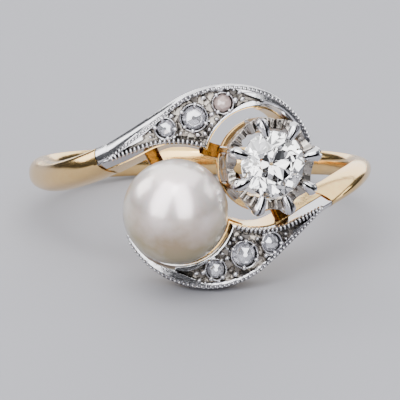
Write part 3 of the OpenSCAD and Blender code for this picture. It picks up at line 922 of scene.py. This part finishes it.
def outer_border(i, out, land, leaf):
    """The groove that the beads stand in, and the rounding of the edge outside it."""
    scale = land / border_w
    from_beads = abs(out - bead_in(i, leaf) * scale)
    groove = groove_depth * smooth((beads_end + 0.8 - i) / 1.4)
    groove *= 1 - smooth((from_beads - groove_half) / 0.05)
    return groove + 0.6 * leaf["bead_in"] * max(0, 1 - out / (0.14 * scale)) ** 2


def inner_border(i, out, w):
    """Flat at the joint, rounded at the tip, sunk under the arch's beads, stepped along the nest."""
    if i > beads_end:
        return joint_sink
    if i < wedge_tip:
        return tip_round * abs(2 * out / w - 1.1) ** 2
    if i > nest_steps:
        return comb_sink
    return nest_step * (1 - smooth((w - out - 0.01) / nest_step_w))


# %% Single cuts
tongue_start, tongue_end = 24.4, 26.8
line_start, line_end = 7.6, 10.4
slots_start, slots_end, slot_pitch, slot_share = 16.7, 20, 0.37, 0.74
wedge_run, wedge_cut, slot_cut, line_cut = 2.3, 0.42, 0.34, 0.09


def single_cuts(p, i, out, w, depth):
    """A tongue left standing at the arm, a deep wedge and a line at the tip, slots by the cusp."""
    if tongue_start < i < tongue_end and abs(out - 0.42 * w) < 0.1 * (tongue_end - i) / 2.2:
        depth = joint_sink
    wedge = (i - wedge_tip) / wedge_run
    if 0 < wedge < 1 and abs(out - mix(0.72, 0.52, wedge) * w) < mix(0.03, 0.11, wedge):
        depth = wedge_cut
    if line_start < i < line_end and abs(out - 0.28 * w) < 0.03:
        depth = line_cut
    if slots_start < i < slots_end and 0.27 < w - out < 0.39:
        along = arch_r * radians(turn_of(arch_c, p)) / slot_pitch
        if along % 1 < slot_share:
            depth = slot_cut
    return depth


# %% All that the graver took away
def cut_depth(p, i, out, w, leaf):
    """How deep the face is cut at p, out from the leaf's outer edge, of the leaf's width w."""
    land = min(border_w, land_share * w)
    low, high = land, w - min(inner_land_w, land_share * w)
    if i < wedge_end:
        opened = max(0, (i - wedge_tip) / (wedge_end - wedge_tip))
        low, high = mix(0.6 * w, low, opened), mix(0.6 * w, high, opened)
    edge = min(out - low, high - out)
    depth = floor_depth(p, i, edge)
    if edge < 0:
        on_outer = out < w / 2
        depth = outer_border(i, out, land, leaf) if on_outer else inner_border(i, out, w)
    return beside_stones(p, edge, single_cuts(p, i, out, w, depth))


# %% Sections of a plate
bevel_steps, face_steps, inner_wall_steps, rows_per_plate_station = 12, 66, 6, 11
bevel_crown, face_round = 0.14, 0.1


def plate_section(i, leaf):
    """Up the bevel, across the cut face and down the inner wall."""
    grown = tip_growth(i, leaf)
    side, edge, inner = side_edge(i, leaf["bevel"]), face_edge(i), inner_edge(i, grown)
    foot = inner_edge(i, lip_off(i) - gold_lip / 2 + grown)
    w = (edge - inner).length
    row = [on_ring(side, plate_r)]
    for k in range(bevel_steps):
        t = k / bevel_steps
        crown = bevel_crown * bevel_share(i) ** 0.75 * sin(pi * t)
        row.append(on_ring(mix(side, edge, t), mix(bevel_r, face_r - face_round, t) + crown))
    for k in range(face_steps + 1):
        t = k / face_steps
        p = mix(edge, inner, t)
        row.append(on_ring(p, face_r - cut_depth(p, i, t * w, w, leaf)))
    for k in range(1, inner_wall_steps + 1):
        t = k / inner_wall_steps
        row.append(on_ring(mix(inner, foot, t), mix(face_r - face_round, plate_r, t)))
    return row


# %% The two plates
cut_ground = face_r - 0.13


def is_cut(column, point):
    on_face = bevel_steps + 1 < column < bevel_steps + face_steps
    return on_face and hypot(point.x, point.y) < cut_ground


# The cut floor takes the platinum that is painted darker as shade.
leaves = [("upper_leaf", upper, None), ("lower_leaf", lower, half_turn)]
for name, leaf, place in leaves:
    rows = [plate_section(i, leaf) for i in stations_of(leaf, rows_per_plate_station)]
    piece(f"{name}_plate", wrapped(rows, is_floor=is_cut), platinum, crisp=28,
          replaces=[name], place=place, floor_finish=shaded_cut_platinum)

# %% [markdown]
# ## Millegrain
# The borders carry millegrain: a knurled wheel was rolled along them and left a row of tiny beads,
# about four to the millimetre. On the stones' side the wheel ran over the edge, so the beads there
# are drawn out across it like the teeth of a comb. An Array modifier can't keep an even pitch on such
# an edge, so the path is walked instead. Each bead has only a few dozen faces.

# %% Beads along an edge
bead_pitch = 0.26


def walk(path, pitch):
    """Points at an even pitch along a path, with its direction there."""
    length, due, out = 0.0, pitch / 2, []
    for a, b in zip(path, path[1:]):
        step = (b - a).length
        while length + step >= due:
            out.append((mix(a, b, (due - length) / step), (b - a).normalized()))
            due += pitch
        length += step
    return out


def bead(p, r, along, size):
    """A low bead on the face, size along the edge, across it and up."""
    bm = bmesh.new()
    bmesh.ops.create_uvsphere(bm, u_segments=8, v_segments=6, radius=0.5)
    turn = atan2(along.y, along.x)
    bm.transform(
        standing_at(p) @ Matrix.Translation((0, 0, r)) @ Matrix.Rotation(turn, 4, "Z")
        @ Matrix.Diagonal((*size, 1))
    )
    return bm


# %% Millegrain
bead_size, comb_size, bead_h = (0.18, 0.23), (0.17, 0.4), 0.36
bead_sink, tip_sink, comb_in = 0.1, 0.12, 0.09


def bead_rows(leaf):
    """The paths of the beads along the outer edge and of the comb along the arch."""
    outer, comb = [], []
    for i in stations_of(leaf, 10):
        start, end = face_edge(i), inner_edge(i, 0)
        w = (start - end).length
        if leaf["start"] + 0.5 < i < beads_end:
            scale = min(1, land_share * w / border_w)
            outer.append(start - bead_in(i, leaf) * scale * outer_way(i))
        if nest_steps + 0.3 < i < beads_end:
            comb.append(mix(end, start, comb_in / w))
    return outer, comb


def millegrain(leaf):
    outer, comb = bead_rows(leaf)
    beads = [bead(p, face_r - bead_sink, along, (*bead_size, bead_h))
             for p, along in walk(outer, bead_pitch)]
    start = leaf["start"]
    tip = mix(face_edge(start), inner_edge(start, leaf["tip_in"]), 0.5)
    tip_size = (0.3, 0.34 + leaf["tip_in"], bead_h)
    beads.append(bead(tip, face_r - tip_sink, way(tip_turn + 90), tip_size))
    beads += [bead(p, face_r - bead_sink, along, (*comb_size, bead_h))
              for p, along in walk(comb, bead_pitch)]
    return joined(beads)


for name, leaf, place in leaves:
    piece(f"{name}_millegrain", millegrain(leaf), platinum, crisp=60, place=place)

# %% [markdown]
# ## Grains and collars
# A small grain of metal is raised at each quarter of a stone and pushed over its edge. Between the
# stones more grains are left as ornament, each where the graver left it, so they are listed one by one.
# The thin rim of metal that stands round a stone is a ring, and a spun circle gives it.

# %% Grains
grain_turns = [35, 145, 215, 325]
# Each loose grain: its turn on the outer arc, its share of the arc's radius and its size.
loose_grains = [
    (152.6, 1.045, 0.2), (152.2, 0.965, 0.18), (149.6, 0.99, 0.16),
    (133, 0.92, 0.26), (131, 0.74, 0.22), (126, 0.59, 0.26), (119, 0.56, 0.24), (113, 0.58, 0.22),
    (108.5, 0.91, 0.28), (106, 0.72, 0.28), (103, 0.66, 0.22), (104, 0.98, 0.18), (112, 0.97, 0.18),
    (86.5, 0.84, 0.32), (84, 0.93, 0.26), (81.5, 0.86, 0.28), (88, 0.95, 0.18), (137, 0.72, 0.22),
]


def grains():
    made = []
    for c, r, turn in stone_spots:
        for a in grain_turns:
            out = way(turn + a)
            made.append(bead(c + (r + 0.08) * out, face_r - 0.02, out, (0.3, 0.26, 0.3)))
    for turn, share, size in loose_grains:
        spot = arc_c + share * arc_r * way(turn)
        made.append(bead(spot, face_r - bead_sink, way(turn * 7), (size * 1.25, size, 0.32)))
    return joined(made)


for name, _, place in leaves:
    piece(f"{name}_grains", grains(), platinum, crisp=60, place=place)

# %% Collars
collar_out, collar_sink, collar_w, collar_h = 0.1, 0.07, 0.08, 0.12


def collars():
    made = []
    for c, r, turn in stone_spots:
        round_turns = [2 * pi * k / 8 for k in range(8)]
        rim = [
            (r + collar_out + collar_w / 2 * cos(a), face_r - collar_sink + collar_h / 2 * sin(a))
            for a in round_turns
        ]
        bm = spun(rim, 48)
        bm.transform(standing_at(c))
        made.append(bm)
    return joined(made)


for name, _, place in leaves:
    piece(f"{name}_collars", collars(), platinum, crisp=60, place=place)

# %% [markdown]
# ## Rose cut stones
# A rose cut has a flat back and hardly any table: six facets lean against a very small one, and a
# ring of smaller facets runs down to the girdle. Its corners lie on circles, and the tightest skin
# round them is the stone, which saves drawing every facet.

# %% Rose cuts
def hull(rings):
    """The stone whose corners lie on rings of (radius, height, turn, corners)."""
    bm = bmesh.new()
    for r, z, turn, corners in rings:
        place = Matrix.Translation((0, 0, z)) @ Matrix.Rotation(radians(turn), 4, "Z")
        bmesh.ops.create_circle(bm, segments=corners, radius=r, matrix=place)
    bmesh.ops.convex_hull(bm, input=bm.verts)
    loose = [e for e in bm.edges if not e.link_faces]
    bmesh.ops.delete(bm, geom=loose, context="EDGES")
    bmesh.ops.dissolve_limit(bm, angle_limit=radians(0.5), verts=bm.verts, edges=bm.edges)
    return bm


rose_girdle, rose_girdle_edge = 0.3, 0.03


def rose(r, turn):
    back = seat_r + clear
    girdle = back + rose_girdle
    return hull([
        (0.94 * r, back, turn, 12),
        (r, girdle - rose_girdle_edge, turn, 12),
        (r, girdle, turn, 12),
        (0.66 * r, girdle + 0.4 * r, turn + 15, 6),
        (0.2 * r, girdle + 0.553 * r, turn + 15, 6),
    ])


# %% Three stones in each leaf
for k, (c, r, turn) in enumerate(stone_spots):
    own_turn = turn + 17 + 23 * k
    upper_finish = milky_diamond if k == 2 else rose_diamond
    piece(f"rose_stone_{k + 1}", rose(r, own_turn), upper_finish, crisp=0,
          replaces=[f"rose_diamond_{k + 1}"], place=standing_at(c))
    piece(f"rose_stone_{k + 4}", rose(r, own_turn + 31), rose_diamond, crisp=0,
          replaces=[f"rose_diamond_{k + 4}"], place=half_turn @ standing_at(c))

# %% [markdown]
# ## The coronet
# The diamond sits in a wall of platinum that rises into eight claws. The wall was fluted with a file
# by hand, so its flutes are uneven, and one plain block with a slit was left between two claws. Its
# edge dips between the claws. A spin would make it regular, so its sections are wrapped as well.

# %% The fluted wall
wall_foot = base_at + clear
rim_drop, rim_top, rim_dip, rim_notch = 0.35, 0.1, 0.2, 0.16
rim = girdle_at - rim_drop
# The wall's outer and inner radius at its foot and at its edge.
foot_out_r, edge_out_r, foot_in_r, edge_in_r = 2.63, 2.72, 1.95, 2.0
flute_depth, fine_flute, flute_uneven, edge_round = 0.16, 0.08, 0.1, 0.04
block_turn, block_half, slit_turn, slit_half, slit_depth = 82, 12, 84, 1.6, 0.3
sections_round, rows_up = 320, 12
# Each claw: its turn, how far it bulges, how wide its foot is and how much its tip is worn short.
claws = [
    (11.7, 0.24, 1.5, 0.22), (58.4, 0, 1, 0), (106.8, 0, 1, 0), (162.7, 0, 1, 0),
    (209, 0, 1, 0.06), (250.5, 0.34, 1, 0.26), (290.8, 0.34, 1.1, 0.28), (327.8, 0.32, 1.1, 0.46),
]


def between_claws(turn):
    """0 at one claw, 1 at the next."""
    ahead = min((claw[0] - turn) % 360 for claw in claws)
    behind = min((turn - claw[0]) % 360 for claw in claws)
    return behind / (ahead + behind)


def wall_row(theta):
    """A section of the wall: up its fluted outside, over its edge and down its plain inside."""
    turn = degrees(theta) % 360
    share = between_claws(turn)
    open_share = sin(pi * share) ** 2
    uneven = noise.noise(Vector((3 * cos(theta), 3 * sin(theta), 0.5)))
    notch = abs(sin(1.7 * pi * (share + 0.8 * uneven))) ** 1.5
    block = smooth((block_half - abs(turn - block_turn)) / 3)
    top = rim + rim_top - rim_dip * (1 + uneven) * open_share ** 1.5 - rim_notch * notch
    top = mix(top, rim + rim_top, block)
    notch = notch * (1 - block)
    if abs(turn - slit_turn) < slit_half:
        top -= slit_depth
    fine_depth = (fine_flute + flute_uneven * uneven) * abs(sin(2 * pi * share))
    row = []
    for k in range(rows_up + 1):
        t = k / rows_up
        flute = flute_depth * open_share * smooth(2.2 * t)
        flute += fine_depth * sin(pi * min(1, 1.4 * t))
        row.append((mix(foot_out_r, edge_out_r, t) - flute, mix(wall_foot, top, t)))
    outside = row[-1][0]
    inside = edge_in_r + 0.16 * notch
    row += [(outside - edge_round, top + edge_round), (inside + edge_round, top + edge_round)]
    row += [(mix(inside, foot_in_r, t), mix(top, wall_foot, t)) for t in (0, 0.5, 1)]
    lean = [foot_shift * (1 - (z - wall_foot) / (rim - wall_foot)) for r, z in row]
    return [Vector((r * cos(theta) + d.x, r * sin(theta) + d.y, z)) for (r, z), d in zip(row, lean)]


# The wall takes the fluted platinum, painted a darker brown grey as shade.
wall_rows = [wall_row(2 * pi * k / sections_round) for k in range(sections_round)]
piece("diamond_collet_wall", wrapped(wall_rows, around=True), shaded_fluted_platinum, crisp=30,
      replaces=["diamond_collet"], place=standing_at(collet_at))

# %% [markdown]
# ## Split claws
# Each claw is split by a saw cut, so it catches the light as two bright ridges with a dark line
# between. A claw runs up the wall, bulges and bends over the diamond. A bevelled curve can't carry a
# slit, so its sections are set along a smooth path and wrapped.

# %% The path of a claw
# Points of (distance from the coronet's axis, height).
claw_path = [
    (2.6, wall_foot), (2.66, 10.9), (2.7, 11.6), (2.74, 12.15), (2.7, 12.5),
    (2.5, 12.76), (2.2, 12.86), (1.92, 12.85), (1.7, 12.78), (1.58, 12.68),
]


def along_path(path, t):
    """A smooth point on a path, with its direction."""
    x = t * (len(path) - 1)
    k = min(int(x), len(path) - 2)
    f = x - k
    p = [Vector(path[max(0, min(len(path) - 1, k + n))]) for n in (-1, 0, 1, 2)]
    bend = 2 * p[0] - 5 * p[1] + 4 * p[2] - p[3]
    swing = 3 * p[1] - p[0] - 3 * p[2] + p[3]
    at = 0.5 * (2 * p[1] + (p[2] - p[0]) * f + bend * f ** 2 + swing * f ** 3)
    slope = 0.5 * ((p[2] - p[0]) + 2 * bend * f + 3 * swing * f ** 2)
    return at, slope.normalized()


# %% The claws
foot_w, bend_w, tip_claw_w = 0.5, 0.72, 0.46
foot_deep, tip_deep, slit_cut, slit_share, ridge_round = 0.5, 0.24, 0.24, 0.17, 0.34
claw_sections, claw_columns = 40, 20
worn_way = Vector((1, -0.35))


def claw_row(t, knob, width, short):
    """A section of a claw at a share t of its path: a ridge with a slit in it on a flat back."""
    at, slope = along_path(claw_path, t)
    at += short * smooth((t - 0.4) / 0.6) * worn_way
    at.x += knob * smooth(t / 0.4) * smooth((0.95 - t) / 0.4)
    outward = Vector((slope.y, -slope.x))
    w = mix(foot_w, bend_w, smooth(t * 2))
    if t >= 0.5:
        w = mix(bend_w, tip_claw_w, smooth((t - 0.5) * 2))
    w *= mix(width, 1, smooth(t))
    deep = mix(foot_deep, tip_deep, smooth(t * 1.3))
    slit = slit_cut * smooth((t - 0.3) * 5)
    row = []
    for k in range(claw_columns + 1):
        y = mix(-1, 1, k / claw_columns)
        high = -ridge_round * w * abs(y) ** 2.6 - slit * max(0, 1 - abs(y) / slit_share)
        row.append((y * w / 2, high))
    row += [(w * 0.42, -deep), (-w * 0.42, -deep)]
    return [Vector((p.x, y, p.y)) for y, p in [(y, at + outward * high) for y, high in row]]


def coronet_claws():
    made = []
    for turn, knob, width, short in claws:
        rows = [claw_row(n / claw_sections, knob, width, short) for n in range(claw_sections + 1)]
        bm = wrapped(rows)
        bm.transform(Matrix.Rotation(radians(turn), 4, "Z"))
        made.append(bm)
    return joined(made)


piece("diamond_claws", coronet_claws(), platinum, crisp=35, place=standing_at(collet_at))

# %% [markdown]
# ## The pearl
# A cultured or natural pearl is never a perfect ball. This one swells by less than a hundredth here
# and there, and it is drilled from below for its peg. A boolean could drill it, but taking away the
# faces round its pole and extruding their edge inwards keeps the mesh clean.

# %% The pearl
swell_share, swell_per_mm, drill_end = 0.004, 0.35, 0.15
bm = bmesh.new()
bmesh.ops.create_uvsphere(bm, u_segments=128, v_segments=64, radius=pearl_r)
for vert in bm.verts:
    swell = swell_share * noise.noise(vert.co * swell_per_mm)
    vert.co *= 1 - abs(swell)
drill_r = peg_d / 2 + clear
pole = [f for f in bm.faces if f.calc_center_median().z < -sqrt(pearl_r ** 2 - drill_r ** 2)]
bmesh.ops.delete(bm, geom=pole, context="FACES")
mouth = [e for e in bm.edges if e.is_boundary]
drawn = bmesh.ops.extrude_edge_only(bm, edges=mouth)["geom"]
deep = [v for v in drawn if isinstance(v, bmesh.types.BMVert)]
bmesh.ops.translate(bm, vec=(0, 0, peg_len + drill_end), verts=deep)
bmesh.ops.holes_fill(bm, edges=[e for e in bm.edges if e.is_boundary], sides=0)
bmesh.ops.translate(bm, vec=(0, 0, pearl_at), verts=bm.verts)
piece("pearl_ball", bm, nacre, crisp=50, replaces=["pearl"], place=standing_at(-nest))

# %% [markdown]
# ## The diamond
# The old cut diamond has flat facets and sharp edges in the solid model already. It would gain
# nothing from being drawn again, so the solid itself is shown and only gets its finish.

# %% The diamond
stone = frame["nodes"]["diamond"]
stone.data.materials.clear()
stone.data.materials.append(diamond)
print("Diamond:", len(stone.data.polygons), "triangles")

# %% [markdown]
# ## Table and light
# A plain pale floor and large soft lights, as on a jeweller's photo table. Polished metal shows the
# lights as bright bands, so where they stand matters more than how strong they are. An image of a
# studio could light it too, but panels can be moved one by one until each band lies right.

# %% Floor
floor_size, floor_at = 3, -0.02 / mm
bpy.ops.mesh.primitive_plane_add(size=floor_size, location=(0, 0, floor_at))
floor = bpy.context.object
floor.name = "floor"
# Matt paper: it gives a soft shadow and no mirror of its own.
paper, _, _ = finish("pale_paper", {"Base Color": linear("#8c8c92"), "Roughness": 0.7})
floor.data.materials.append(paper)

# %% The room
# The room is dark near the table and pale above, which gives polished metal its dark lower edges.
world = bpy.data.worlds.new("studio")
bpy.context.scene.world = world
world.use_nodes = True
tree = world.node_tree
sky = add(tree, "ShaderNodeTexCoord").outputs["Generated"]
rise = add(tree, "ShaderNodeSeparateXYZ", {"Vector": sky}).outputs["Z"]
glow = add(
    tree, "ShaderNodeMapRange",
    {"Value": rise, "From Min": 0.1, "From Max": 0.9, "To Min": 0.08, "To Max": 0.5},
)
room = tree.nodes["Background"]
room.inputs["Color"].default_value = linear("#c9ccd2")
tree.links.new(out_of(glow), room.inputs["Strength"])

# %% Lights
# The camera's turn and rise in the ring's frame. The turns of the lights are counted from the same one.
azimuth, elevation = radians(-5.83), radians(4.7)


def soft_light(name, turn, rise, distance, width, tall, radiance):
    """A soft box at a turn from the camera's side and a rise above the table. Sizes are in metres."""
    data = bpy.data.lights.new(name, "AREA")
    data.shape = "RECTANGLE"
    data.size, data.size_y = width, tall
    data.energy = radiance * pi * width * tall
    made = bpy.data.objects.new(name, data)
    a = azimuth + radians(turn)
    flat = cos(radians(rise))
    place = distance * Vector((sin(a) * flat, -cos(a) * flat, sin(radians(rise))))
    made.location = place
    made.rotation_euler = place.to_track_quat("Z", "Y").to_euler()
    bpy.context.scene.collection.objects.link(made)


soft_light("left_panel", turn=-40, rise=42, distance=0.5, width=0.34, tall=0.78, radiance=5.6)
soft_light("right_panel", turn=21, rise=42, distance=0.5, width=0.3, tall=0.78, radiance=5.2)
soft_light("overhead", turn=180, rise=66, distance=0.5, width=0.7, tall=0.62, radiance=2.3)
soft_light("back_panel", turn=176, rise=15, distance=0.6, width=0.6, tall=0.32, radiance=3.4)
soft_light("left_side", turn=-114, rise=32, distance=0.5, width=0.26, tall=0.26, radiance=5)
soft_light("right_side", turn=108, rise=30, distance=0.5, width=0.2, tall=0.16, radiance=2.5)

# %% [markdown]
# ## Camera
# The camera stands where the photograph was taken from: a quarter of a metre away, a little above
# the ring's own plane and slightly to its left, with a long lens. It could be aimed by eye, but its
# place is worked out in the ring's frame and its lens from how many pixels a millimetre takes.

# %% Camera
distance, aim_below = 250, 1.65
pixels_per_mm, frame_px, sensor = 16.93, 400, 36
back = Vector((sin(azimuth) * cos(elevation), -cos(azimuth) * cos(elevation), sin(elevation)))
right = Vector((cos(azimuth), sin(azimuth), 0))
up = Vector((-sin(azimuth) * sin(elevation), cos(azimuth) * sin(elevation), cos(elevation)))
stand = -aim_below * up + distance * back
turned = ring_place.to_3x3().normalized()
rotation = turned @ Matrix((right, up, back)).transposed()
data = bpy.data.cameras.new("camera")
data.sensor_width = sensor
data.lens = sensor * pixels_per_mm * distance / frame_px
data.clip_start = 0.01
camera = bpy.data.objects.new("camera", data)
camera.matrix_world = Matrix.Translation(ring_place @ stand) @ rotation.to_4x4()
bpy.context.scene.collection.objects.link(camera)
bpy.context.scene.camera = camera
print("Lens", round(data.lens), "mm")
